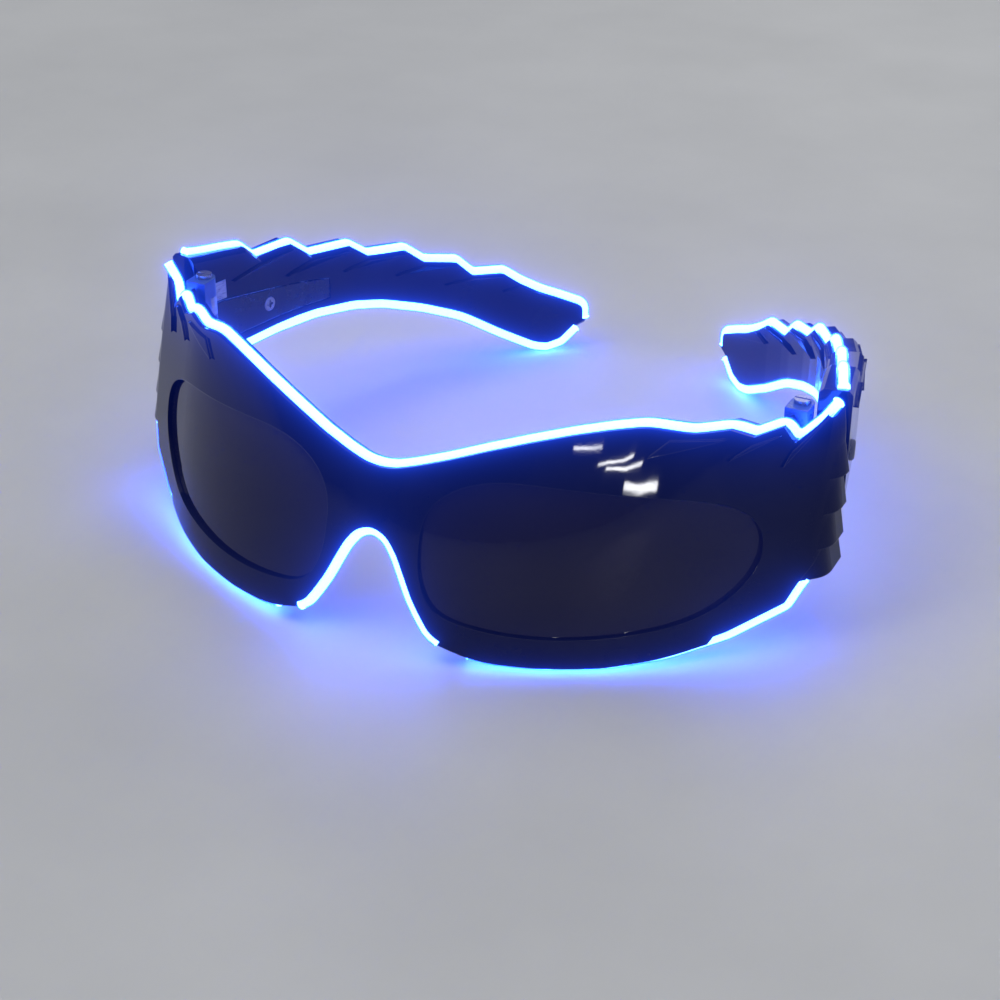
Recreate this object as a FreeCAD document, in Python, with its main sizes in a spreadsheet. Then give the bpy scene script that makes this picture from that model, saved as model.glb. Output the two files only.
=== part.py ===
import FreeCAD, Part
import Sketcher
import math
import os
from FreeCAD import Placement, Rotation, Vector

# Light up party glasses: a wraparound front with two lenses, glowing wires along its edges, and two
# folding temples with a stepped top edge. X runs across (right of someone facing the front), Y runs back
# from the front to the temple tips, Z is up from the table that the rims and the tips rest on.

doc = FreeCAD.newDocument("PartyGlasses")
sheet = doc.addObject("Spreadsheet::Sheet", "Sizes")

# Driving sizes in millimetres and degrees
sizes = [
    # The front's plan curve, lean and height
    ("half_width", 72.7),
    ("front_radius", 82.0),
    ("front_arc_half", 56.0),
    ("corner_radius", 6.0),
    ("corner_least", 0.4),
    ("front_height", 45.0),
    ("front_lean", 0.28),
    ("bow_radius", 200.0),
    ("front_wall", 4.0),
    ("end_behind", 0.7),
    # Lenses and their seats
    ("lens_lip", 0.9),
    ("lens_thick", 1.8),
    ("lens_edge_seat", 1.3),
    ("lens_clearance", 0.1),
    # Raised facets and side scales
    ("facet_rise", 0.6),
    ("facet_root", 1.0),
    ("scale_rise", 1.3),
    ("scale_sink", 0.15),
    ("facet_drop", 1.3),
    # Glowing wires
    ("wire_radius", 1.15),
    ("wire_bend", 2.6),
    ("wire_clearance", 0.08),
    ("lower_wire_depth", 1.3),
    ("nose_wire_depth", 1.1),
    ("lower_lip", 0.1),
    ("lower_step", 1.1),
    ("wire_end_gap", 0.25),
    ("gentle_bend", 30.0),
    ("gentle_turn", 25.0),
    ("top_wire_out", 1.2),
    ("top_wire_in", 1.2),
    ("low_wire_seat", 0.5),
    # Hinge
    ("hinge_inset", 8.7),
    ("hinge_behind", 0.5),
    ("hinge_bottom", 30.0),
    ("hinge_tall", 12.0),
    ("knuckle_radius", 2.2),
    ("knuckle_middle", 4.0),
    ("knuckle_gap", 0.2),
    ("hinge_clearance", 0.35),
    ("pin_radius", 0.8),
    ("pin_clearance", 0.05),
    ("pin_head_radius", 1.6),
    ("pin_head_tall", 0.8),
    ("bracket_wide", 4.4),
    ("bracket_long", 7.5),
    ("bracket_shoulder", 6.3),
    ("bracket_step_back", 4.2),
    ("leaf_long", 8.5),
    ("leaf_thick", 1.2),
    ("rest_fold", 12.5),
    # Temple
    ("temple_wall_out", 5.8),
    ("temple_start", -0.2),
    ("temple_straight", 23.5),
    ("temple_bend_radius", 94.6),
    ("temple_bend", 37.5),
    ("temple_tail", 19.0),
    ("temple_tall", 45.0),
    ("temple_thick", 6.2),
    ("tip_thick", 4.4),
    ("edge_chamfer", 0.9),
    # Temple cavity and cover
    ("cover_thick", 1.2),
    ("outer_wall", 1.2),
    ("cover_ledge", 0.5),
    ("cover_clearance", 0.1),
    ("cover_screw_radius", 0.9),
    ("cover_screw_head", 1.5),
    ("cover_screw_head_tall", 0.7),
    ("boss_radius", 1.6),
    # Button cells and their contacts
    ("cell_radius", 3.4),
    ("cell_thick", 2.6),
    ("contact_thick", 0.15),
    ("contact_wide", 2.4),
    ("contact_reach", 1.6),
    # Driver board, its parts and the button
    ("board_start", 4.2),
    ("board_long", 14.4),
    ("board_tall", 5.0),
    ("board_thick", 0.8),
    ("board_depth", 2.1),
    ("post_radius", 0.8),
    ("post_inset", 1.0),
    ("coil_radius", 1.5),
    ("coil_tall", 1.5),
    ("coil_along", 14.4),
    ("chip_long", 3.0),
    ("chip_thick", 0.7),
    ("chip_along", 13.0),
    ("switch_side", 3.0),
    ("switch_thick", 0.9),
    ("plunger_radius", 0.7),
    ("plunger_clearance", 0.05),
    ("button_radius", 2.0),
    ("button_proud", 0.7),
    ("button_flange", 0.5),
    ("button_flange_radius", 2.6),
    ("button_clearance", 0.1),
    ("button_travel", 0.4),
    ("lead_radius", 0.35),
    ("lead_aside", 2.1),
    # Distance from the front's middle back to the middle of the whole length
    ("middle_back", 62.4435),
    # Overrun past a face that a tool cuts through
    ("overrun", 2.0),
]
for row, (alias, value) in enumerate(sizes, start=1):
    sheet.set("A%d" % row, alias)
    sheet.set("B%d" % row, str(value))
    sheet.setAlias("B%d" % row, alias)
doc.recompute()


def size(alias):
    return float(sheet.get(alias))


# Outlines as shares of the half width (across) and of the front's height (up)
brow_shares = [
    (0.0, 0.741), (0.042, 0.747), (0.096, 0.773), (0.172, 0.813), (0.268, 0.866), (0.365, 0.911),
    (0.454, 0.944), (0.536, 0.964), (0.605, 0.971), (0.66, 0.949), (0.7, 0.932), (0.774, 0.931),
    (0.822, 0.891), (0.878, 0.916), (0.905, 0.846), (0.948, 0.907), (0.981, 0.991)]
lower_wire_shares = [
    (0.27, 0.05), (0.33, 0.033), (0.44, 0.0234), (0.59, 0.0234), (0.71, 0.044), (0.795, 0.0757),
    (0.805, 0.0794), (0.828, 0.088), (0.88, 0.129), (0.938, 0.174), (0.957, 0.245), (0.967, 0.275)]
# The rim steps down beyond this share of the half width, so that the wire there shows
step_share = 0.8
rim_corner_shares = [(0.2, 0.082)]
arch_shares = [
    (0.17, 0.112), (0.144, 0.172), (0.116, 0.244), (0.09, 0.33), (0.066, 0.407), (0.037, 0.466), (0.0, 0.489)]
lens_shares = [
    (0.131, 0.51), (0.168, 0.66), (0.27, 0.744), (0.413, 0.75), (0.55, 0.724), (0.674, 0.693),
    (0.793, 0.636), (0.862, 0.54), (0.872, 0.38), (0.79, 0.215), (0.653, 0.157), (0.53, 0.143),
    (0.4, 0.146), (0.275, 0.17), (0.18, 0.228), (0.138, 0.355)]
side_shares = [(1.0, 0.44), (0.985, 0.35)]
# Raised facets on the brow: the low tip, the notch behind it and the peak after that
brow_facet_shares = [
    [(0.62, 0.89), (0.66, 0.949), (0.774, 0.931)],
    [(0.782, 0.845), (0.822, 0.891), (0.878, 0.916)],
    [(0.892, 0.79), (0.905, 0.846), (0.981, 0.991)]]
# Side scales: the low edge and the top edge of each
scale_shares = [(0.68, 0.83), (0.54, 0.7), (0.4, 0.56), (0.28, 0.42)]

# Temple edges: shares of the temple's length along its curve and of its height
temple_top_shares = [
    (0.0, 1.004), (0.05, 0.987), (0.1, 0.972), (0.145, 0.955), (0.181, 0.878), (0.275, 0.884),
    (0.327, 0.793), (0.432, 0.778), (0.479, 0.702), (0.572, 0.687), (0.62, 0.604), (0.698, 0.573),
    (0.737, 0.489), (0.809, 0.482), (0.848, 0.418), (0.894, 0.358), (0.941, 0.313), (1.0, 0.251)]
temple_low_shares = [
    (0.0, 0.474), (0.105, 0.478), (0.219, 0.484), (0.333, 0.478), (0.438, 0.453), (0.514, 0.416),
    (0.612, 0.344), (0.708, 0.258), (0.802, 0.13), (0.88, 0.037), (0.91, 0.0234), (0.945, 0.045),
    (0.98, 0.12), (1.0, 0.14)]
temple_facet_shares = [
    [(0.101, 0.85), (0.181, 0.878), (0.275, 0.884)],
    [(0.252, 0.76), (0.327, 0.793), (0.432, 0.778)],
    [(0.41, 0.68), (0.479, 0.702), (0.572, 0.687)],
    [(0.546, 0.584), (0.62, 0.604), (0.698, 0.573)],
    [(0.667, 0.48), (0.737, 0.489), (0.809, 0.482)],
    [(0.806, 0.398), (0.848, 0.418), (0.941, 0.313)]]
cover_shares = [(0.028, 0.548, 0.745), (0.074, 0.548, 0.745), (0.15, 0.548, 0.72), (0.226, 0.548, 0.695),
                (0.3, 0.545, 0.67), (0.37, 0.54, 0.64)]
screw_share = (0.2, 0.628)
cell_shares = [(0.0704, 0.644), (0.1384, 0.636)]
button_share = (0.088, 0.642)
# Height at which the top wire ends, down the temple's tip, and where along the top it has crossed to the inner side
strip_end_share = 0.165
wire_cross_share = 0.275

# Most of a run that an arc may take at each end, and the least turn in radians that gets an arc
tangent_share = 0.45
least_turn = math.radians(0.5)
# Points that a lens outline is drawn through again where it is grown
outline_steps = 36
# Slots in the screw heads: width over the shank's radius, and length over the head's radius
slot_share = 0.5
cross_share = 0.6

half_width = size("half_width")
front_height = size("front_height")
wall = size("front_wall")
hinge_out = half_width - size("hinge_inset")
overrun = size("overrun")
wire_radius = size("wire_radius")
groove_radius = wire_radius + size("wire_clearance")

# Plan of the front: a round middle, a straight tangent run each side and a tight outer corner
front_radius = size("front_radius")
corner_radius = size("corner_radius")
run_angle = math.asin(size("front_arc_half") / front_radius)
corner_start_x = half_width - corner_radius * (1 - math.sin(run_angle))
run_start_y = front_radius * (1 - math.cos(run_angle))
corner_start_y = run_start_y + (corner_start_x - size("front_arc_half")) * math.tan(run_angle)
corner_centre = Vector(
    corner_start_x - corner_radius * math.sin(run_angle), corner_start_y + corner_radius * math.cos(run_angle), 0)
# The front ends just behind the centre of its corners, and the hinge axes stand a little further back
end_plane = corner_centre.y + size("end_behind")
hinge_back = end_plane + size("hinge_behind")
bracket_front = hinge_back - size("bracket_long")
brow_low = brow_shares[0][1] * front_height
bow_middle = front_height / 2


def lean_shift(height):
    """How far back the front's face lies at a height, from its lean and its slight bow."""
    bow = ((height - bow_middle) ** 2 - (brow_low - bow_middle) ** 2) / (2 * size("bow_radius"))
    return (height - brow_low) * size("front_lean") + bow


def inset_corner(inset):
    """Radius of the outer corner set inwards by inset."""
    return max(corner_radius - inset, size("corner_least"))


def plan_back(across, inset):
    """Y of the plan curve set inwards by inset, at a distance across from the middle."""
    across = abs(across)
    radius = front_radius - inset
    arc_end = radius * math.sin(run_angle)
    if across <= arc_end:
        return front_radius - math.sqrt(radius ** 2 - across ** 2)
    small = inset_corner(inset)
    corner_from = corner_centre.x + small * math.sin(run_angle)
    if across <= corner_from:
        return front_radius - radius * math.cos(run_angle) + (across - arc_end) * math.tan(run_angle)
    reach = min(across - corner_centre.x, small)
    return corner_centre.y - math.sqrt(small ** 2 - reach ** 2)


def front_point(across, height, inset):
    return Vector(across, plan_back(across, inset) + lean_shift(height), height)


def plan_side(inset, side, end_back):
    """Corner points of one side of the inset plan curve, from the middle arc's end to the far end."""
    radius = front_radius - inset
    small = inset_corner(inset)
    sine = math.sin(run_angle)
    cosine = math.cos(run_angle)
    half_turn = (run_angle + math.pi / 2) / 2
    run_from = Vector(side * radius * sine, front_radius - radius * cosine, 0)
    turn_from = Vector(side * (corner_centre.x + small * sine), corner_centre.y - small * cosine, 0)
    turn_middle = Vector(
        side * (corner_centre.x + small * math.sin(half_turn)), corner_centre.y - small * math.cos(half_turn), 0)
    turn_to = Vector(side * (corner_centre.x + small), corner_centre.y, 0)
    end = Vector(turn_to.x, end_back, 0)
    return run_from, turn_from, turn_middle, turn_to, end


def plan_edges(inset, end_back):
    """Edges of the inset plan curve from the left end to the right end."""
    left = plan_side(inset, -1, end_back)
    right = plan_side(inset, 1, end_back)
    return [
        Part.LineSegment(left[4], left[3]).toShape(),
        Part.Arc(left[3], left[2], left[1]).toShape(),
        Part.LineSegment(left[1], left[0]).toShape(),
        Part.Arc(left[0], Vector(0, inset, 0), right[0]).toShape(),
        Part.LineSegment(right[0], right[1]).toShape(),
        Part.Arc(right[1], right[2], right[3]).toShape(),
        Part.LineSegment(right[3], right[4]).toShape()]


def front_section(height, outer_inset, inner_inset):
    """Closed wire of the front's wall at a height, between two insets."""
    end_back = end_plane + front_height * size("front_lean") + overrun
    outer = plan_edges(outer_inset, end_back)
    inner = plan_edges(inner_inset, end_back)
    first = Part.LineSegment(outer[0].Vertexes[0].Point, inner[0].Vertexes[0].Point).toShape()
    last = Part.LineSegment(outer[-1].Vertexes[-1].Point, inner[-1].Vertexes[-1].Point).toShape()
    wire = Part.Wire(Part.__sortEdges__(outer + [last] + inner + [first]))
    wire.translate(Vector(0, lean_shift(height), height))
    return wire


def front_band(outer_inset, inner_inset, low, high):
    """Wall of the front between two insets and two heights."""
    steps = 4
    heights = [low + (high - low) * step / steps for step in range(steps + 1)]
    return Part.makeLoft([front_section(height, outer_inset, inner_inset) for height in heights], True, False)


def outline_points(shares):
    return [Vector(across * half_width, 0, up * front_height) for across, up in shares]


def mirrored(points):
    return [Vector(-point.x, point.y, point.z) for point in points]


def mirror_shape(shape, side):
    return shape if side > 0 else shape.mirror(Vector(0, 0, 0), Vector(1, 0, 0))


def prism(face_or_wire):
    """Prism through the whole front, along Y, of an outline drawn in the XZ plane."""
    depth = 2 * half_width
    face = Part.Face(face_or_wire)
    face.translate(Vector(0, -depth, 0))
    return face.extrude(Vector(0, 2 * depth, 0))


def polygon(points):
    return Part.makePolygon(points + [points[0]])


def largest(shape):
    """The main solid of a shape, without chips left inside a groove."""
    return max(shape.Solids, key=lambda solid: solid.Volume)


def is_gentle(turn):
    return turn < math.radians(size("gentle_turn"))


def wire_bend_at(corner, turn):
    """Bend of a wire at a corner of its route."""
    return size("gentle_bend") if is_gentle(turn) else size("wire_bend")


def arch_bend_at(corner, turn):
    return size("gentle_bend")


def outline_bend_at(corner, turn):
    """The front's outline is rounded over the nose and where it turns gently, and sharp elsewhere."""
    over_nose = abs(corner.x) <= arch_shares[0][0] * half_width and corner.z < brow_low
    return size("gentle_bend") if over_nose or is_gentle(turn) else 0


def rounded_edges(points, bend_at):
    """Straight runs through the points, joined by tangent arcs as large as the bend and the runs allow."""
    edges = []
    last = points[0]
    for before, corner, after in zip(points, points[1:], points[2:]):
        back = before - corner
        ahead = after - corner
        turn = math.pi - back.getAngle(ahead)
        shorter = min(back.Length, ahead.Length)
        setback = min(bend_at(corner, turn) * math.tan(turn / 2), shorter * tangent_share)
        if turn < least_turn:
            continue
        if setback == 0:
            edges.append(Part.LineSegment(last, corner).toShape())
            last = corner
            continue
        enter = corner + back.normalize() * setback
        leave = corner + ahead.normalize() * setback
        bend_here = setback / math.tan(turn / 2)
        inward = (back + ahead).normalize()
        middle = corner + inward * (bend_here / math.cos(turn / 2) - bend_here)
        edges.append(Part.LineSegment(last, enter).toShape())
        edges.append(Part.Arc(enter, middle, leave).toShape())
        last = leave
    edges.append(Part.LineSegment(last, points[-1]).toShape())
    return edges


def rounded_loop(points, bend_at):
    """Closed outline through the points, which starts halfway along its closing run."""
    start = (points[0] + points[-1]) * 0.5
    return Part.Wire(rounded_edges([start] + points + [start], bend_at))


def tube(points, radius, bend_at):
    """Round bar along a route of straight runs joined by tangent arcs."""
    edges = rounded_edges(points, bend_at)
    path = Part.Wire(edges)
    start = edges[0].tangentAt(edges[0].FirstParameter)
    circle = Part.Wire(Part.makeCircle(radius, points[0], start))
    bar = path.makePipeShell([circle], True, False)
    expected = math.pi * radius ** 2 * path.Length
    print("tube", round(path.Length, 1), "long, volume over expected", round(bar.Volume / expected, 4))
    return bar


def add_feature(name, shape, placement=None):
    """Sub-part whose shape comes from Part's own functions."""
    feature = doc.addObject("Part::Feature", name)
    feature.Label = name
    feature.Shape = shape
    if placement is not None:
        feature.Placement = placement
    return feature


# Front
wire_depth = wall / 2


def brow_route():
    """Along the brow at mid thickness, from one corner peak to the other."""
    rearmost = end_plane - wire_radius - size("wire_end_gap")
    right = []
    for point in outline_points(brow_shares):
        spot = front_point(point.x, point.z, wire_depth)
        right.append(Vector(spot.x, min(spot.y, rearmost), spot.z))
    left = mirrored(right[1:])
    left.reverse()
    return left + right


def arch_route():
    """Over the nose arch, from the one rim's lower corner to the other's."""
    leg = [front_point(point.x, point.z, size("nose_wire_depth"))
           for point in outline_points(rim_corner_shares + arch_shares)]
    other = mirrored(leg[:-1])
    other.reverse()
    return leg + other


def lower_route(side):
    shares = lower_wire_shares
    return [front_point(side * across * half_width, up * front_height, size("lower_wire_depth"))
            for across, up in shares]


def front_outline():
    """Outer outline of the front in the XZ plane: brow, side, lower rim and nose arch."""
    brow = outline_points(brow_shares)
    beyond = half_width + overrun
    outer = [Vector(beyond, 0, brow[-1].z), Vector(beyond, 0, side_shares[0][1] * front_height)]
    side = outline_points(side_shares)
    lower = []
    for across, up in reversed(lower_wire_shares):
        lift = size("lower_step") if across > step_share else -size("lower_lip")
        lower.append(Vector(across * half_width, 0, up * front_height + lift))
    arch = outline_points(rim_corner_shares + arch_shares)
    right = brow + outer + side + lower + arch
    left = mirrored(right[1:-1])
    left.reverse()
    return right + left


def smooth_loop(points):
    curve = Part.BSplineCurve()
    curve.interpolate(Points=points, PeriodicFlag=True)
    return curve


def lens_outline(side, grown_by=0):
    """Closed smooth outline of a lens opening in the XZ plane, grown outwards by a distance."""
    curve = smooth_loop([Vector(side * point.x, 0, point.z) for point in outline_points(lens_shares)])
    if grown_by == 0:
        return Part.Wire(curve.toShape())
    span = (curve.LastParameter - curve.FirstParameter) / outline_steps
    points = []
    for step in range(outline_steps):
        parameter = curve.FirstParameter + step * span
        along = curve.tangent(parameter)[0].normalize()
        outward = Vector(-side * along.z, 0, side * along.x)
        points.append(curve.value(parameter) + outward * grown_by)
    return Part.Wire(smooth_loop(points).toShape())


def side_scale(low_share, high_share):
    """Scale round the right outer corner: it stands out along its low edge and sinks in at its top.

    Its outline is the front's own, moved back along the straight run, so that it swells out of the corner.
    """
    moved = size("scale_rise") / math.cos(run_angle)
    sunk = size("scale_sink")
    outward = Vector(moved * math.cos(run_angle) - sunk * math.sin(run_angle),
                     moved * math.sin(run_angle) + sunk * math.cos(run_angle), 0)
    lower = front_section(low_share * front_height, 0, wall)
    lower.translate(outward)
    upper = front_section(high_share * front_height, sunk, wall - sunk)
    band = Part.makeLoft([lower, upper], True, True)
    return band.common(Part.makeBox(half_width, half_width, front_height, Vector(size("front_arc_half"), 0, 0)))


def front_half_shape():
    """Right half of the front: wall, facets, scales, lens opening and seat, grooves and bracket pocket."""
    low = -overrun
    high = front_height + overrun
    body = front_band(0, wall, low, high).common(prism(rounded_loop(front_outline(), outline_bend_at)))
    right_half = Part.makeBox(2 * half_width, 4 * half_width, 2 * front_height,
                              Vector(0, -half_width, -front_height / 2))
    body = body.common(right_half)
    raised = front_band(-size("facet_rise"), size("facet_root"), low, high)
    for facet in brow_facet_shares:
        tip, notch, peak = outline_points(facet)
        drop = Vector(0, 0, size("facet_drop"))
        body = body.fuse(raised.common(prism(polygon([tip - drop, notch - drop, peak - drop]))))
    for scale in scale_shares:
        body = body.fuse(side_scale(*scale))
    body = body.cut(prism(lens_outline(1)))
    seat = front_band(size("lens_lip"), wall + size("facet_root"), low, high)
    seat_grown = size("lens_edge_seat") + size("lens_clearance")
    body = body.cut(seat.common(prism(lens_outline(1, seat_grown))))
    behind = Part.makeBox(2 * half_width, half_width, 2 * front_height,
                          Vector(0, end_plane, -front_height / 2))
    body = body.cut(behind)
    for route, bend_at in ((brow_route(), wire_bend_at), (arch_route(), arch_bend_at),
                           (lower_route(1), wire_bend_at)):
        body = largest(body.cut(tube(route, groove_radius, bend_at)))
    return body.cut(bracket_block(1, size("wire_clearance")))


def front_frame_shape():
    half = front_half_shape()
    return half.fuse(mirror_shape(half, -1))


def lens_shape(side):
    front = size("lens_lip") + size("lens_clearance") / 2
    plate = front_band(front, front + size("lens_thick"), -overrun, front_height + overrun)
    return plate.common(prism(lens_outline(side, size("lens_edge_seat"))))


# Hinge: the front's bracket carries two knuckles, the temple's leaf one between them, on an upright pin
hinge_top = size("hinge_bottom") + size("hinge_tall")
middle_low = size("hinge_bottom") + (size("hinge_tall") - size("knuckle_middle")) / 2
middle_high = middle_low + size("knuckle_middle")


def upright(radius, low, high, across=0, back=0):
    return Part.makeCylinder(radius, high - low, Vector(across, back, low))


def bracket_block(side, room=0):
    """Block seated in the front's inner face; its upper half is shorter to clear the brow wire."""
    wide = size("bracket_wide") + 2 * room
    depth = hinge_back - bracket_front + room
    low = size("hinge_bottom") - room
    tall = size("hinge_tall") + 2 * room
    corner = Vector(side * hinge_out - wide / 2, bracket_front - room, low)
    block = Part.makeBox(wide, depth, tall, corner)
    shoulder = size("bracket_shoulder") + 2 * room
    return block.cut(Part.makeBox(wide, size("bracket_step_back"), tall, corner + Vector(0, 0, shoulder)))


def bracket_shape(side):
    """Bracket: the block with an upper and a lower knuckle behind it."""
    knuckle = size("knuckle_radius")
    across = side * hinge_out
    back = hinge_back
    block = bracket_block(side).fuse(upright(knuckle, size("hinge_bottom"), hinge_top, across, back))
    room = knuckle + size("hinge_clearance")
    gap = size("knuckle_gap")
    block = block.cut(upright(room, middle_low - gap, middle_high + gap, across, back))
    bore = size("pin_radius") + size("pin_clearance")
    return block.cut(upright(bore, size("hinge_bottom") - overrun, hinge_top + overrun, across, back))


def pin_shape():
    """Hinge screw: a shank through the three knuckles under a low head with a slot."""
    head = size("pin_head_radius")
    top = hinge_top + size("pin_head_tall")
    pin = upright(size("pin_radius"), size("hinge_bottom"), hinge_top)
    pin = pin.fuse(upright(head, hinge_top, top))
    slot_wide = size("pin_radius") * slot_share
    slot_deep = size("pin_head_tall") / 2
    slot = Part.makeBox(2 * head + overrun, slot_wide, slot_deep + overrun,
                        Vector(-head - overrun / 2, -slot_wide / 2, top - slot_deep))
    return pin.cut(slot)


# Temple: drawn on the right, straight back from an upright hinge axis at the origin, as when fully open
bend_angle = math.radians(size("temple_bend"))
bend_length = size("temple_bend_radius") * bend_angle
temple_length = size("temple_straight") + bend_length + size("temple_tail")
temple_tall = size("temple_tall")
thick = size("temple_thick")


def temple_point(along, height, outward):
    """Point at a distance along the temple's middle curve, at a height and set outward from the curve."""
    turned = min(max(along - size("temple_straight"), 0), bend_length) / size("temple_bend_radius")
    tail = max(along - size("temple_straight") - bend_length, 0)
    across = size("temple_wall_out") - size("temple_bend_radius") * (1 - math.cos(turned)) - tail * math.sin(turned)
    back = (size("temple_start") + min(along, size("temple_straight"))
            + size("temple_bend_radius") * math.sin(turned) + tail * math.cos(turned))
    return Vector(across + outward * math.cos(turned), back + outward * math.sin(turned), height)


def share_at(shares, along_share):
    """Height share between the listed points of a temple edge."""
    for (before, low), (after, high) in zip(shares, shares[1:]):
        if along_share <= after:
            return low + (high - low) * (along_share - before) / (after - before)
    return shares[-1][1]


def half_thick(along):
    """Half thickness of the temple: full along the cavity, then thinning evenly to the tip."""
    thin_from = cover_shares[-1][0] * temple_length
    past = max(along - thin_from, 0) / (temple_length - thin_from)
    return (thick + (size("tip_thick") - thick) * past) / 2


def chamfered_section(along, low, high):
    """Closed eight-sided section across the temple at a distance along it."""
    half = half_thick(along)
    cut = size("edge_chamfer")
    corners = [(-half, low + cut), (-half + cut, low), (half - cut, low), (half, low + cut),
               (half, high - cut), (half - cut, high), (-half + cut, high), (-half, high - cut)]
    return polygon([temple_point(along, height, outward) for outward, height in corners])


def plain_section(along, low, high, inner, outer):
    corners = [(inner, low), (outer, low), (outer, high), (inner, high)]
    return polygon([temple_point(along, height, outward) for outward, height in corners])


def temple_stations():
    """Shares along the temple where either edge turns, and a few more around the bend."""
    shares = [along for along, up in temple_top_shares] + [along for along, up in temple_low_shares]
    return sorted(set(shares))


def temple_blank():
    sections = []
    for along_share in temple_stations():
        low = share_at(temple_low_shares, along_share) * temple_tall
        high = share_at(temple_top_shares, along_share) * temple_tall
        sections.append(chamfered_section(along_share * temple_length, low, high))
    return Part.makeLoft(sections, True, True)


def temple_facet(facet, face_side):
    """Raised three-cornered scale on one face of the temple."""
    points = []
    for root in (True, False):
        ring = []
        for along_share, up in facet:
            along = along_share * temple_length
            outward = half_thick(along) + (-size("facet_root") if root else size("facet_rise"))
            ring.append(temple_point(along, up * temple_tall - size("facet_drop"), face_side * outward))
        points.append(polygon(ring))
    return Part.makeLoft(points, True, True)


def cover_band(inset, inner, outer, end_inset=0):
    """Curved slab under the cover's outline drawn in by inset."""
    sections = []
    for place, (along_share, low, high) in enumerate(cover_shares):
        along = along_share * temple_length
        if place == 0:
            along = along + inset
        if place == len(cover_shares) - 1:
            along = along - inset
        sections.append(plain_section(along, low * temple_tall + inset, high * temple_tall - inset, inner, outer))
    return Part.makeLoft(sections, True, True)


def outward_bar(along_share, up_share, radius, inner, outer):
    """Round bar square to the temple's faces, between two distances from its middle curve."""
    along = along_share * temple_length
    start = temple_point(along, up_share * temple_tall, inner)
    end = temple_point(along, up_share * temple_tall, outer)
    return Part.makeCylinder(radius, outer - inner, start, end - start)


def edge_point(share, outward):
    """Point of a temple edge; the edge's first point keeps clear of the temple's front face."""
    along = max(share[0] * temple_length, wire_radius + size("wire_clearance") * 2)
    return temple_point(along, share[1] * temple_tall, outward)


def top_route():
    """Along the top edge, from its outer side at the hinge across to its inner side, and down the tip's end."""
    points = []
    for share in temple_top_shares + [(temple_top_shares[-1][0], strip_end_share)]:
        crossed = min(share[0] / wire_cross_share, 1)
        points.append(edge_point(share, size("top_wire_out") * (1 - crossed) - size("top_wire_in") * crossed))
    return points


def low_route():
    """Along the inner corner of the low edge."""
    points = []
    for share in temple_low_shares[:-1]:
        points.append(edge_point(share, size("low_wire_seat") - half_thick(share[0] * temple_length)))
    return points


inner_face = -thick / 2
board_from = size("board_start")
board_to = board_from + size("board_long")
cover_inside = inner_face + size("cover_thick")
cavity_outside = thick / 2 - size("outer_wall")
board_outside = cavity_outside - size("board_depth")


def leaf_shape():
    """Temple's half of the hinge: a middle knuckle, an arm and a plate let into the inner face."""
    inner = size("temple_wall_out") - thick / 2
    plate = Part.makeBox(size("leaf_thick"), size("leaf_long"), size("knuckle_middle"),
                         Vector(inner, size("temple_start"), middle_low))
    arm = Part.makeBox(inner + size("leaf_thick"), size("knuckle_radius"), size("knuckle_middle"),
                       Vector(0, 0, middle_low))
    leaf = upright(size("knuckle_radius"), middle_low, middle_high).fuse(arm).fuse(plate)
    bore = size("pin_radius") + size("pin_clearance")
    return leaf.cut(upright(bore, middle_low - overrun, middle_high + overrun))


def leaf_room():
    inner = size("temple_wall_out") - thick / 2
    room = size("wire_clearance")
    return Part.makeBox(size("leaf_thick") + room + overrun, size("leaf_long") + room + overrun,
                        size("knuckle_middle") + 2 * room,
                        Vector(inner - overrun, size("temple_start") - overrun, middle_low - room))


def shell_shape(with_button):
    shell = temple_blank()
    for facet in temple_facet_shares:
        shell = shell.fuse(temple_facet(facet, 1))
        shell = shell.fuse(temple_facet(facet, -1))
    room = size("cover_clearance")
    shell = shell.cut(cover_band(-room, inner_face - overrun, cover_inside))
    shell = shell.cut(cover_band(size("cover_ledge"), inner_face - overrun, cavity_outside))
    boss = outward_bar(*screw_share, size("boss_radius"), cover_inside, cavity_outside + size("facet_root") / 2)
    shell = shell.fuse(boss)
    hole = outward_bar(*screw_share, size("cover_screw_radius"), inner_face - overrun, cavity_outside)
    shell = shell.cut(hole)
    shell = shell.cut(leaf_room())
    if with_button:
        bore = size("button_radius") + size("button_clearance")
        shell = shell.cut(outward_bar(*button_share, bore, 0, thick))
        for along in (board_from + size("post_inset"), board_to - size("post_inset")):
            shell = shell.fuse(outward_bar(along / temple_length, button_share[1], size("post_radius"),
                                           board_outside, cavity_outside + size("facet_root") / 2))
    for route in (top_route(), low_route()):
        shell = largest(shell.cut(tube(route, groove_radius, wire_bend_at)))
    return shell


def cover_shape():
    cover = cover_band(0, inner_face, cover_inside)
    hole = size("cover_screw_radius") + size("cover_clearance")
    cover = cover.cut(outward_bar(*screw_share, hole, inner_face - overrun, cover_inside + overrun))
    head = size("cover_screw_head") + size("cover_clearance")
    seat_floor = inner_face + size("cover_screw_head_tall")
    return cover.cut(outward_bar(*screw_share, head, inner_face - overrun, seat_floor))


def cover_screw_shape():
    head_floor = inner_face + size("cover_screw_head_tall")
    end = cavity_outside - size("cover_clearance")
    screw = outward_bar(*screw_share, size("cover_screw_head"), inner_face, head_floor)
    screw = screw.fuse(outward_bar(*screw_share, size("cover_screw_radius"), head_floor, end))
    socket_deep = size("cover_screw_head_tall") / 2
    slot_long = size("cover_screw_head") * cross_share
    slot_wide = slot_long / 4
    centre = temple_point(screw_share[0] * temple_length, screw_share[1] * temple_tall, inner_face)
    for long, tall in ((slot_long, slot_wide), (slot_wide, slot_long)):
        slot = Part.makeBox(socket_deep + overrun, 2 * long, 2 * tall,
                            centre - Vector(overrun, long, tall))
        screw = screw.cut(slot)
    return screw


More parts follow.
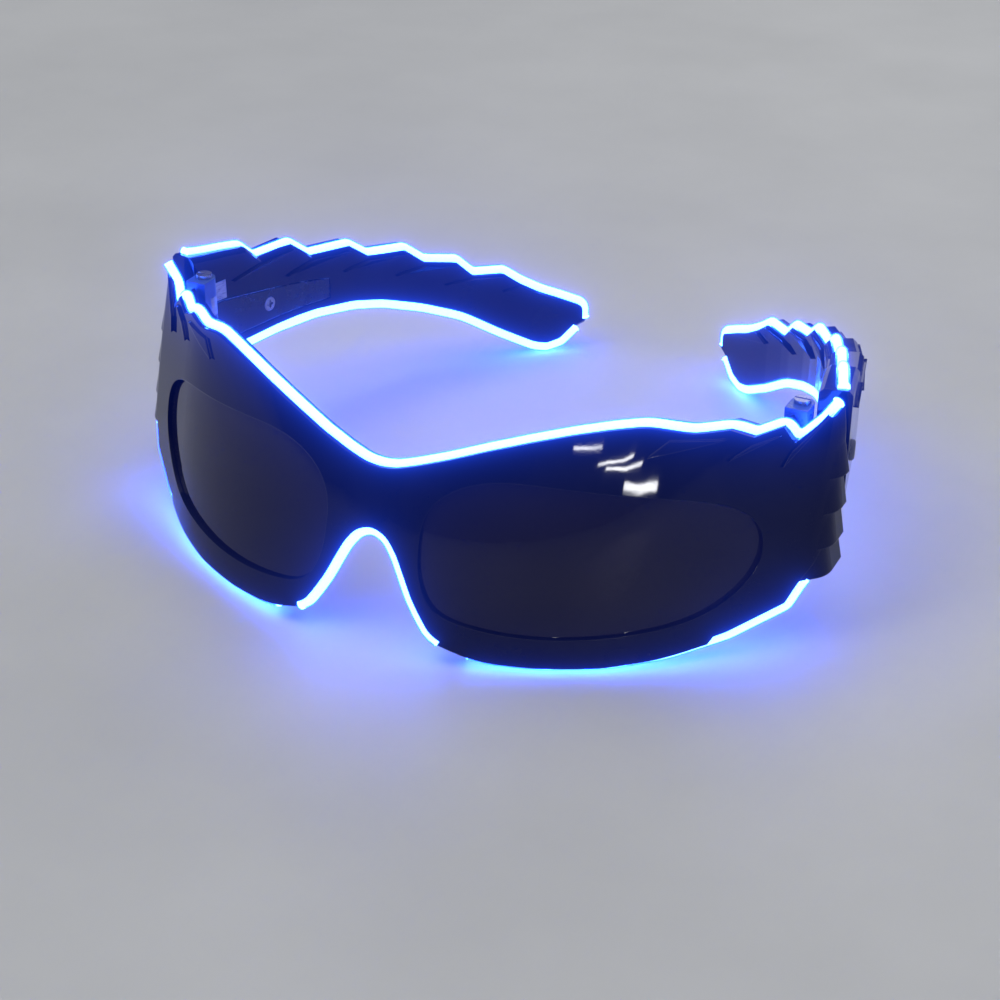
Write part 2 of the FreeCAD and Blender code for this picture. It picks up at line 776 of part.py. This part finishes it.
def flat_foot(bar):
    """The wire with the side that rests on the table pressed flat."""
    below = Part.makeBox(4 * half_width, 4 * half_width, front_height,
                         Vector(-2 * half_width, -2 * half_width, -front_height))
    return bar.cut(below)


def wire_shape(route, bend_at=wire_bend_at):
    return tube(route, wire_radius, bend_at)


# Where a piece drawn on the straight part of the temple lies, from its distance along, height and depth
def temple_spot(along, height, outward):
    return Vector(size("temple_wall_out") + outward, size("temple_start") + along, height)


outward_turn = Rotation(Vector(0, 1, 0), 90)
along_turn = Rotation(Vector(1, 0, 0), -90)
shift = Vector(0, -size("middle_back"), 0)


def temple_frame(side):
    hinge = Vector(side * hinge_out, hinge_back, 0)
    return Placement(hinge + shift, Rotation(Vector(0, 0, 1), side * size("rest_fold")))


def add_disc(name, radius, thickness, place):
    """Round piece from a cylinder bound to its sizes."""
    disc = doc.addObject("Part::Cylinder", name)
    disc.Label = name
    disc.setExpression("Radius", "Sizes." + radius)
    disc.setExpression("Height", "Sizes." + thickness)
    disc.Placement = place
    return disc


def add_block(name, length, width, height, place):
    """Box piece bound to its sizes."""
    block = doc.addObject("Part::Box", name)
    block.Label = name
    block.setExpression("Length", length)
    block.setExpression("Width", width)
    block.setExpression("Height", height)
    block.Placement = place
    return block


def contact_spring(along, height):
    """Bent strip under the cover: one flat on a cell, one flat against the cover."""
    skin = size("contact_thick")
    reach = size("contact_reach")
    low = cavity_outside - skin - size("cell_thick")
    high = cover_inside
    profile = [(-reach, low), (0, low), (reach, high + skin), (reach + reach, high + skin),
               (reach + reach, high), (reach - skin, high), (-skin, low - skin), (-reach, low - skin)]
    wide = size("contact_wide")
    ring = [temple_spot(along + ahead, height - wide / 2, outward) for ahead, outward in profile]
    return Part.Face(polygon(ring)).extrude(Vector(0, 0, wide))


def bridge_shape():
    """Flat strip behind both cells."""
    first, second = [along * temple_length for along, up in cell_shares]
    height = cell_shares[1][1] * temple_tall
    wide = size("contact_wide")
    skin = size("contact_thick")
    reach = size("contact_reach")
    return Part.makeBox(skin, second - first + 2 * reach, wide,
                        temple_spot(first - reach, height - wide / 2, cavity_outside - skin))


def build_front():
    """Front, lenses, the wires along its edges, and the hinge halves and screws it carries."""
    place = Placement(shift, Rotation())
    add_feature("front_frame", front_frame_shape(), place)
    add_feature("brow_light", wire_shape(brow_route()), place)
    add_feature("nose_light", wire_shape(arch_route(), arch_bend_at), place)
    for side, name in sides:
        add_feature(name + "_lens", lens_shape(side), place)
        add_feature(name + "_lower_light", flat_foot(wire_shape(lower_route(side))), place)
        add_feature(name + "_hinge_bracket", bracket_shape(side), place)
        pin_place = Placement(Vector(side * hinge_out, hinge_back, 0) + shift, Rotation())
        add_feature(name + "_hinge_screw", pin_shape(), pin_place)


def build_temples():
    """Shell, cover, wires, hinge leaf and cover screw of both temples."""
    for side, name in sides:
        place = temple_frame(side)
        add_feature(name + "_temple_shell", mirror_shape(shell_shape(side > 0), side), place)
        add_feature(name + "_temple_cover", mirror_shape(cover_shape(), side), place)
        add_feature(name + "_temple_leaf", mirror_shape(leaf_shape(), side), place)
        add_feature(name + "_cover_screw", mirror_shape(cover_screw_shape(), side), place)
        add_feature(name + "_temple_top_light", mirror_shape(wire_shape(top_route()), side), place)
        bottom = flat_foot(wire_shape(low_route()))
        add_feature(name + "_temple_bottom_light", mirror_shape(bottom, side), place)


def mirrored_place(spot):
    return Vector(-spot.x, spot.y, spot.z)


def build_cells():
    """Left temple: two button cells in a row, a strip behind them, a spring on each and a lead."""
    place = temple_frame(-1)
    face = cavity_outside - size("contact_thick") - size("cell_thick")
    for name, (along_share, up_share) in zip(("front_cell", "rear_cell"), cell_shares):
        along = along_share * temple_length
        height = up_share * temple_tall
        spot = mirrored_place(temple_spot(along, height, face))
        turn = Rotation(Vector(0, 1, 0), -90)
        add_disc(name, "cell_radius", "cell_thick", place * Placement(spot, turn))
        spring = mirror_shape(contact_spring(along, height), -1)
        add_feature(name + "_spring", spring, place)
    add_feature("cell_bridge", mirror_shape(bridge_shape(), -1), place)
    height = cell_shares[1][1] * temple_tall - size("lead_aside")
    lead_spot = mirrored_place(temple_spot(board_from, height, face - size("lead_radius")))
    add_lead("left_lead", place * Placement(lead_spot, along_turn))


def add_lead(name, place):
    add_disc(name, "lead_radius", "board_long", place)


def build_driver():
    """Right temple: driver board with its coil, chip and lead, and the switch behind the power button."""
    place = temple_frame(1)
    button_along = button_share[0] * temple_length
    middle = button_share[1] * temple_tall
    board_inside = board_outside - size("board_thick")
    low = middle - size("board_tall") / 2
    add_block("driver_board", "Sizes.board_thick", "Sizes.board_long", "Sizes.board_tall",
              place * Placement(temple_spot(board_from, low, board_inside), Rotation()))
    add_disc("driver_coil", "coil_radius", "coil_tall",
             place * Placement(temple_spot(size("coil_along"), middle, board_outside), outward_turn))
    chip_spot = temple_spot(size("chip_along"), middle - size("chip_long") / 2,
                            board_inside - size("chip_thick"))
    add_block("driver_chip", "Sizes.chip_thick", "Sizes.chip_long", "Sizes.chip_long",
              place * Placement(chip_spot, Rotation()))
    lead_spot = temple_spot(board_from, middle - size("lead_aside"), board_inside - size("lead_radius"))
    add_lead("right_lead", place * Placement(lead_spot, along_turn))

    # Switch: a square case with a round well for the plunger
    case = doc.addObject("Part::Box", "SwitchCase")
    case.setExpression("Length", "Sizes.switch_thick")
    case.setExpression("Width", "Sizes.switch_side")
    case.setExpression("Height", "Sizes.switch_side")
    case.setExpression("Placement.Base.y", "-Sizes.switch_side / 2")
    case.setExpression("Placement.Base.z", "-Sizes.switch_side / 2")
    well = doc.addObject("Part::Cylinder", "SwitchWell")
    well.setExpression("Radius", "Sizes.plunger_radius + Sizes.plunger_clearance")
    well.setExpression("Height", "Sizes.switch_thick + Sizes.overrun")
    well.Placement = Placement(Vector(0, 0, 0), outward_turn)
    switch = doc.addObject("Part::Cut", "button_switch")
    switch.Label = "button_switch"
    switch.Base = case
    switch.Tool = well
    switch.Placement = place * Placement(temple_spot(button_along, middle, board_outside), Rotation())

    # Power button: cap and flange turned in one, over a plunger that reaches into the switch's well
    flange_under = cavity_outside - size("button_flange")
    button = button_body()
    button.Placement = place * Placement(temple_spot(button_along, middle, flange_under), outward_turn)
    plunger_end = board_outside + size("button_travel") + size("plunger_clearance")
    plunger = doc.addObject("Part::Cylinder", "button_plunger")
    plunger.Label = "button_plunger"
    plunger.setExpression("Radius", "Sizes.plunger_radius")
    plunger.Height = flange_under - plunger_end
    plunger.Placement = place * Placement(temple_spot(button_along, middle, plunger_end), outward_turn)


def bind_distance(sketch, kind, first, second, expression):
    """Distance between two ends of the sketch's lines, bound to the sheet."""
    place = sketch.addConstraint(Sketcher.Constraint(kind, *first, *second, overrun))
    sketch.setExpression("Constraints[%d]" % place, expression)


def button_body():
    """Button turned from its half profile: radius across, height above the flange's underside up."""
    body = doc.addObject("PartDesign::Body", "power_button")
    body.Label = "power_button"
    sketch = body.newObject("Sketcher::SketchObject", "ButtonProfile")
    plane = [origin for origin in body.Origin.OriginFeatures if origin.Role == "XZ_Plane"][0]
    sketch.AttachmentSupport = [(plane, "")]
    sketch.MapMode = "FlatFace"
    flange = size("button_flange")
    cap = size("button_flange") + size("outer_wall") + size("button_proud")
    edge = size("button_proud") / 2
    profile = [(0, 0), (size("button_flange_radius"), 0), (size("button_flange_radius"), flange),
               (size("button_radius"), flange), (size("button_radius"), cap - edge),
               (size("button_radius") - edge, cap), (0, cap)]
    for start, end in zip(profile, profile[1:] + profile[:1]):
        sketch.addGeometry(Part.LineSegment(Vector(start[0], start[1], 0), Vector(end[0], end[1], 0)), False)
    for line in range(len(profile)):
        sketch.addConstraint(Sketcher.Constraint("Coincident", line, 2, (line + 1) % len(profile), 1))
    for line in (0, 2, 5):
        sketch.addConstraint(Sketcher.Constraint("Horizontal", line))
    for line in (1, 3, 6):
        sketch.addConstraint(Sketcher.Constraint("Vertical", line))
    sketch.addConstraint(Sketcher.Constraint("Coincident", 0, 1, -1, 1))
    bind_distance(sketch, "DistanceX", (-1, 1), (0, 2), "Sizes.button_flange_radius")
    bind_distance(sketch, "DistanceY", (-1, 1), (1, 2), "Sizes.button_flange")
    bind_distance(sketch, "DistanceX", (-1, 1), (3, 1), "Sizes.button_radius")
    bind_distance(sketch, "DistanceY", (-1, 1), (5, 1),
                  "Sizes.button_flange + Sizes.outer_wall + Sizes.button_proud")
    bind_distance(sketch, "DistanceX", (4, 2), (4, 1), "Sizes.button_proud / 2")
    bind_distance(sketch, "DistanceY", (4, 1), (4, 2), "Sizes.button_proud / 2")
    turned = body.newObject("PartDesign::Revolution", "ButtonTurned")
    turned.Profile = sketch
    turned.ReferenceAxis = (sketch, ["V_Axis"])
    turned.Angle = 360
    body.Tip = turned
    return body


sides = ((1, "right"), (-1, "left"))
build_front()
build_temples()
build_cells()
build_driver()
doc.recompute()

node_names = ["front_frame", "brow_light", "nose_light", "front_cell", "rear_cell", "front_cell_spring",
              "rear_cell_spring", "cell_bridge", "left_lead", "right_lead", "driver_board", "driver_coil",
              "driver_chip", "button_switch", "power_button", "button_plunger"]
side_names = ["lens", "lower_light", "hinge_bracket", "hinge_screw", "temple_shell", "temple_cover",
              "temple_leaf", "cover_screw", "temple_top_light", "temple_bottom_light"]
for side, name in sides:
    node_names = node_names + [name + "_" + ending for ending in side_names]

for thing in doc.Objects:
    for state in thing.State:
        if state in ("Invalid", "Error"):
            raise RuntimeError("%s is %s" % (thing.Name, state))

os.makedirs("parts", exist_ok=True)
for node in node_names:
    part = doc.getObject(node)
    shape = part.Shape
    if shape.isNull() or not shape.isValid():
        raise RuntimeError("%s has no valid shape" % node)
    print(node, "solids", len(shape.Solids), "volume", round(shape.Volume, 2))
    shape.exportStep("parts/%s.step" % node)
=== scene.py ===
import bpy
import math
from mathutils import Matrix, Vector


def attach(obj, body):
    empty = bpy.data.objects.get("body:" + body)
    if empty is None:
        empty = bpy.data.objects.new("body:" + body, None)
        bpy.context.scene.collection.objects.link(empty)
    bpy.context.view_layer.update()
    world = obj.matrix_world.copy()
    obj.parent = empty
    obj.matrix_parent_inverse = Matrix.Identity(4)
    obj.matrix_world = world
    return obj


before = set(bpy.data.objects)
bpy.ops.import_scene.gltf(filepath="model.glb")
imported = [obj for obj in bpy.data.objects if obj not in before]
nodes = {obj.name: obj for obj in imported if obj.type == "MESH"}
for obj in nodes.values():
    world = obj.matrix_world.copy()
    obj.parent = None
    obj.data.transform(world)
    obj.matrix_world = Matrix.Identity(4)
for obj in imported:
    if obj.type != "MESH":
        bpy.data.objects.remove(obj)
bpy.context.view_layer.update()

# Colours, linear
dark = (0.003, 0.0033, 0.005)
dark_lift = (0.007, 0.0075, 0.011)
smoke = (0.013, 0.011, 0.018)
smoke_lift = (0.022, 0.019, 0.03)
glow_blue = (0.04, 0.14, 1.0)
phosphor_dim = (0.7, 0.86, 1.0)
phosphor_lit = (0.85, 0.93, 1.0)
sleeve_blue = (0.006, 0.11, 1.0)
sleeve_deep = (0.05, 0.2, 0.9)
sleeve_pale = (0.1, 0.3, 1.0)
floor_grey = (0.5, 0.51, 0.53)
floor_pale = (0.54, 0.55, 0.57)
sky_grey = (0.75, 0.78, 0.82, 1)
bloom_tint = (0.3, 0.55, 1.0, 1.0)

# Radii that edges show in the gloss, and how far the lit core lies under its sleeve's skin, in metres
plastic_edge = 0.0003
metal_edge = 0.00012
core_inset = 0.00028

# The camera stands where the photograph was taken from: metres and degrees, and its lens in millimetres
middle_back = 0.0624435
aim = Vector((-0.0008, 0.050 - middle_back, 0.0014))
camera_turn = math.radians(26.5)
camera_rise = math.radians(29.3)
camera_far = 0.410
lens_length = 72
sensor_width = 36
nearest_seen = 0.01

# Floor, in metres
floor_side = 6
floor_drop = 0.0001

# Soft lamps: place and target, width, height, in metres, and power in watts
lamps = [
    ("overhead", (-0.23, 0.23, 3.0), (0, 0, 0), 3.7, 3.7, 69.5),
    ("key", (-0.55, -0.55, 0.8), (0, 0, 0.02), 0.5, 0.5, 2.0),
    ("back", (0.1, 0.9, 0.5), (0, 0, 0.02), 0.9, 0.25, 1.5)]

# Narrow lamps low in front that show as streaks in the right brow's gloss: both ends and width, in metres
strips = [
    ("strip_top", (0.321, -0.683, 0.155), (0.398, -0.641, 0.145), 0.0025),
    ("strip_middle", (0.394, -0.644, 0.118), (0.487, -0.577, 0.111), 0.0045),
    ("strip_low", (0.416, -0.630, 0.107), (0.508, -0.559, 0.0915), 0.005),
    ("panel", (0.474, -0.588, 0.073), (0.552, -0.515, 0.050), 0.009)]
strip_target = Vector((0.04, -0.05, 0.038))
strip_spread = math.radians(40)
strip_watts = 10.5  # per square metre


def new_material(name):
    material = bpy.data.materials.new(name)
    material.use_nodes = True
    tree = material.node_tree
    return material, tree, tree.nodes["Principled BSDF"]


def noise(tree, scale, detail=3.0, rough=0.55, stretch=(1, 1, 1)):
    """Noise over the object's own coordinates, in cells per metre."""
    place = tree.nodes.new("ShaderNodeTexCoord")
    mapping = tree.nodes.new("ShaderNodeMapping")
    mapping.inputs["Scale"].default_value = stretch
    tree.links.new(place.outputs["Object"], mapping.inputs["Vector"])
    texture = tree.nodes.new("ShaderNodeTexNoise")
    texture.inputs["Scale"].default_value = scale
    texture.inputs["Detail"].default_value = detail
    texture.inputs["Roughness"].default_value = rough
    tree.links.new(mapping.outputs["Vector"], texture.inputs["Vector"])
    return texture.outputs["Fac"]


def spread(tree, value, low, high, from_low=0.3, from_high=0.7):
    """The noise value mapped to a range."""
    node = tree.nodes.new("ShaderNodeMapRange")
    node.inputs["From Min"].default_value = from_low
    node.inputs["From Max"].default_value = from_high
    node.inputs["To Min"].default_value = low
    node.inputs["To Max"].default_value = high
    tree.links.new(value, node.inputs["Value"])
    return node.outputs["Result"]


def two_tone(tree, value, first, second, low=0.35, high=0.65):
    """The noise value as a blend of two colours."""
    ramp = tree.nodes.new("ShaderNodeValToRGB")
    start, end = ramp.color_ramp.elements
    start.position = low
    start.color = (*first, 1)
    end.position = high
    end.color = (*second, 1)
    tree.links.new(value, ramp.inputs["Fac"])
    return ramp.outputs["Color"]


def rounded_edges(tree, radius):
    bevel = tree.nodes.new("ShaderNodeBevel")
    bevel.samples = 6
    bevel.inputs["Radius"].default_value = radius
    return bevel.outputs["Normal"]


def relief(tree, bsdf, height, strength, depth, normal=None):
    """One bump layer, its depth in metres, on the shader and over the normal of what lies below it."""
    bump = tree.nodes.new("ShaderNodeBump")
    bump.inputs["Strength"].default_value = strength
    bump.inputs["Distance"].default_value = depth
    tree.links.new(height, bump.inputs["Height"])
    if normal:
        tree.links.new(normal, bump.inputs["Normal"])
    tree.links.new(bump.outputs["Normal"], bsdf.inputs["Normal"])
    return bump.outputs["Normal"]


def moulded(name, colours, rough, grain=1800, depth=0.000002, gloss=0.5, ior=1.45):
    """Moulded plastic: slight colour drift, uneven gloss, a fine orange-peel and hairline wear."""
    material, tree, bsdf = new_material(name)
    drift = noise(tree, scale=60, detail=4)
    tree.links.new(two_tone(tree, drift, *colours), bsdf.inputs["Base Color"])
    handling = noise(tree, scale=140, detail=6, rough=0.7)
    tree.links.new(spread(tree, handling, *rough), bsdf.inputs["Roughness"])
    hair = noise(tree, scale=900, detail=2, rough=0.5, stretch=(1, 0.06, 1))
    peel = noise(tree, scale=grain, detail=2)
    peeled = relief(tree, bsdf, peel, strength=0.5, depth=depth, normal=rounded_edges(tree, plastic_edge))
    relief(tree, bsdf, hair, strength=0.25, depth=depth, normal=peeled)
    bsdf.inputs["IOR"].default_value = ior
    bsdf.inputs["Specular IOR Level"].default_value = gloss
    return material


def metal(name, colours, rough, stretch):
    """Plated or stamped metal with fine directional brushing."""
    material, tree, bsdf = new_material(name)
    brushed = noise(tree, scale=2500, detail=4, rough=0.6, stretch=stretch)
    tree.links.new(two_tone(tree, brushed, *colours), bsdf.inputs["Base Color"])
    tree.links.new(spread(tree, brushed, *rough), bsdf.inputs["Roughness"])
    bsdf.inputs["Metallic"].default_value = 1.0
    relief(tree, bsdf, brushed, strength=0.35, depth=0.000006, normal=rounded_edges(tree, metal_edge))
    return material


def glow_core():
    """The lit phosphor inside a wire's sleeve."""
    material, tree, bsdf = new_material("glow_core")
    grain = noise(tree, scale=1500, detail=3)
    tree.links.new(two_tone(tree, grain, phosphor_dim, phosphor_lit), bsdf.inputs["Base Color"])
    bsdf.inputs["Roughness"].default_value = 0.5
    bsdf.inputs["Emission Color"].default_value = (*glow_blue, 1)
    bsdf.inputs["Emission Strength"].default_value = 32.0
    return material


def glow_sleeve():
    """Clear vinyl sleeve, tinted blue by the light that it carries."""
    material, tree, bsdf = new_material("glow_sleeve")
    cloud = noise(tree, scale=700, detail=3)
    tree.links.new(two_tone(tree, cloud, sleeve_deep, sleeve_pale), bsdf.inputs["Base Color"])
    bsdf.inputs["Roughness"].default_value = 0.22
    bsdf.inputs["Alpha"].default_value = 0.4
    bsdf.inputs["Emission Color"].default_value = (*sleeve_blue, 1)
    bsdf.inputs["Emission Strength"].default_value = 1.6
    relief(tree, bsdf, noise(tree, scale=2200, detail=2), strength=0.3, depth=0.00001)
    return material


def smoke_lens():
    """Smoke-tinted polished lens with faint smudges in its gloss."""
    material, tree, bsdf = new_material("smoke_lens")
    fade = noise(tree, scale=30, detail=2)
    tree.links.new(two_tone(tree, fade, smoke, smoke_lift), bsdf.inputs["Base Color"])
    smudge = noise(tree, scale=120, detail=5, rough=0.7)
    tree.links.new(spread(tree, smudge, low=0.015, high=0.06), bsdf.inputs["Roughness"])
    bsdf.inputs["IOR"].default_value = 1.38
    bsdf.inputs["Specular IOR Level"].default_value = 0.28
    bsdf.inputs["Transmission Weight"].default_value = 0.55
    relief(tree, bsdf, noise(tree, scale=25, detail=1), strength=0.2, depth=0.0001)
    return material


def floor_cover():
    """Plain pale matt floor."""
    material, tree, bsdf = new_material("floor_pale")
    cloud = noise(tree, scale=14, detail=4)
    tree.links.new(two_tone(tree, cloud, floor_grey, floor_pale), bsdf.inputs["Base Color"])
    bsdf.inputs["Roughness"].default_value = 0.55
    return material


# Plastics: two colours, roughness from and to, grain in cells per metre and its depth in metres
frame_plastic = moulded(
    "frame_plastic", colours=(dark, dark_lift), rough=(0.02, 0.045), depth=0.000001, gloss=0.35, ior=1.35)
temple_plastic = moulded(
    "temple_plastic", colours=(dark, dark_lift), rough=(0.06, 0.14), gloss=0.4, ior=1.38)
cover_plastic = moulded(
    "cover_plastic", colours=((0.006, 0.0065, 0.009), (0.012, 0.0125, 0.017)), rough=(0.2, 0.34),
    grain=2600, depth=0.000006)
button_plastic = moulded(
    "button_plastic", colours=((0.1, 0.11, 0.13), (0.14, 0.15, 0.17)), rough=(0.35, 0.5),
    grain=3000, depth=0.00001)
# Hinge brackets: nylon whose blue colour is painted light, the wires' blue glow painted into the base colour
# as a tint
hinge_nylon_painted_glow = moulded(
    "hinge_nylon_painted_glow", colours=((0.035, 0.08, 0.24), (0.05, 0.105, 0.3)), rough=(0.24, 0.38),
    grain=2400, depth=0.000006)
board_green = moulded(
    "board_green", colours=((0.004, 0.06, 0.02), (0.008, 0.1, 0.035)), rough=(0.25, 0.4),
    grain=3500, depth=0.00002)
chip_black = moulded(
    "chip_black", colours=((0.012, 0.012, 0.013), (0.02, 0.02, 0.022)), rough=(0.5, 0.7),
    grain=4000, depth=0.00002)
lead_vinyl = moulded(
    "lead_vinyl", colours=((0.35, 0.01, 0.01), (0.45, 0.02, 0.02)), rough=(0.35, 0.5))

# Metals: two colours, roughness from and to, and the brushing's density along each axis
screw_steel = metal(
    "screw_steel", colours=((0.2, 0.205, 0.215), (0.36, 0.365, 0.38)), rough=(0.24, 0.42), stretch=(1, 1, 8))
hinge_steel = metal(
    "hinge_steel", colours=((0.24, 0.25, 0.27), (0.4, 0.41, 0.43)), rough=(0.25, 0.42), stretch=(1, 0.1, 1))
cell_steel = metal(
    "cell_steel", colours=((0.55, 0.55, 0.56), (0.68, 0.68, 0.69)), rough=(0.16, 0.3), stretch=(1, 1, 1))
contact_brass = metal(
    "contact_brass", colours=((0.5, 0.34, 0.12), (0.68, 0.48, 0.2)), rough=(0.22, 0.36), stretch=(1, 0.1, 1))

# Which material each CAD node takes, by how its name ends
endings = {
    "front_frame": frame_plastic,
    "lens": smoke_lens(),
    "hinge_bracket": hinge_nylon_painted_glow,
    "hinge_screw": hinge_steel,
    "temple_shell": temple_plastic,
    "temple_cover": cover_plastic,
    "temple_leaf": hinge_steel,
    "cover_screw": screw_steel,
    "cell": cell_steel,
    "spring": contact_brass,
    "cell_bridge": contact_brass,
    "lead": lead_vinyl,
    "driver_board": board_green,
    "driver_coil": chip_black,
    "driver_chip": chip_black,
    "button_switch": chip_black,
    "power_button": button_plastic,
    "button_plunger": button_plastic,
    "light": glow_sleeve()}
for name, item in nodes.items():
    for ending, material in endings.items():
        if name.endswith(ending):
            for place in item.material_slots:
                place.material = material


def body_for(name):
    """The body that a wire's core rides on: its temple, or else the front."""
    for body in ("left_temple", "right_temple"):
        if name.startswith(body):
            return body
    return "front"


# The lit core inside each wire's sleeve: the sleeve's skin drawn inwards
core_light = glow_core()
for name, item in nodes.items():
    if not name.endswith("light"):
        continue
    skin = item.data.copy()
    skin.name = name + "_core"
    core = bpy.data.objects.new(name + "_core", skin)
    bpy.context.collection.objects.link(core)
    core.matrix_world = item.matrix_world.copy()
    thin = core.modifiers.new("thin", "DISPLACE")
    thin.mid_level = 0.0
    thin.strength = -core_inset
    skin.materials.clear()
    skin.materials.append(core_light)
    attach(core, body_for(name))

# Floor
bpy.ops.mesh.primitive_plane_add(size=floor_side, location=(0, 0, -floor_drop))
floor = bpy.context.object
floor.name = "floor"
floor.data.materials.append(floor_cover())


def soft_light(name, place, target, wide, tall, watts):
    data = bpy.data.lights.new(name, "AREA")
    data.shape = "RECTANGLE"
    data.size = wide
    data.size_y = tall
    data.energy = watts
    light = bpy.data.objects.new(name, data)
    light.location = place
    light.rotation_euler = (Vector(target) - Vector(place)).to_track_quat("-Z", "Y").to_euler()
    bpy.context.collection.objects.link(light)
    return light


def strip_light(name, first, last, tall):
    """A narrow lamp from one end to the other, turned about its length to face the strips' target."""
    run = Vector(last) - Vector(first)
    middle = (Vector(first) + Vector(last)) / 2
    back = (middle - strip_target).normalized()
    rise = back.cross(run).normalized()
    light = soft_light(name, middle, strip_target, run.length, tall, strip_watts * run.length * tall)
    light.rotation_euler = Matrix((rise.cross(back), rise, back)).transposed().to_euler()
    light.data.spread = strip_spread


# Studio light
for lamp in lamps:
    soft_light(*lamp)
for strip in strips:
    strip_light(*strip)
world = bpy.data.worlds.new("studio")
world.use_nodes = True
background = world.node_tree.nodes["Background"]
background.inputs["Color"].default_value = sky_grey
background.inputs["Strength"].default_value = 0.13
scene = bpy.context.scene
scene.world = world

# Camera
level = math.cos(camera_rise)
look = Vector((-math.sin(camera_turn) * level, math.cos(camera_turn) * level, -math.sin(camera_rise)))
right = Vector((math.cos(camera_turn), math.sin(camera_turn), 0))
up = right.cross(look)
spot = aim - look * camera_far
turn = Matrix((right, up, -look)).transposed().to_4x4()
lens = bpy.data.cameras.new("camera")
lens.sensor_width = sensor_width
lens.sensor_fit = "HORIZONTAL"
lens.lens = lens_length
lens.clip_start = nearest_seen
camera = bpy.data.objects.new("camera", lens)
camera.matrix_world = Matrix.Translation(spot) @ turn
bpy.context.collection.objects.link(camera)
bpy.context.scene.camera = camera

# Bloom around the lit wires, as a camera's lens gives
scene.view_settings.view_transform = "Standard"
scene.use_nodes = True
graph = scene.node_tree
graph.nodes.clear()
layers = graph.nodes.new("CompositorNodeRLayers")
glare = graph.nodes.new("CompositorNodeGlare")
glare.glare_type = "BLOOM"
glare.quality = "HIGH"
glare.inputs["Threshold"].default_value = 1.2
glare.inputs["Strength"].default_value = 0.2
glare.inputs["Tint"].default_value = bloom_tint
glare.inputs["Size"].default_value = 0.45
composite = graph.nodes.new("CompositorNodeComposite")
graph.links.new(layers.outputs["Image"], glare.inputs["Image"])
graph.links.new(glare.outputs["Image"], composite.inputs["Image"])
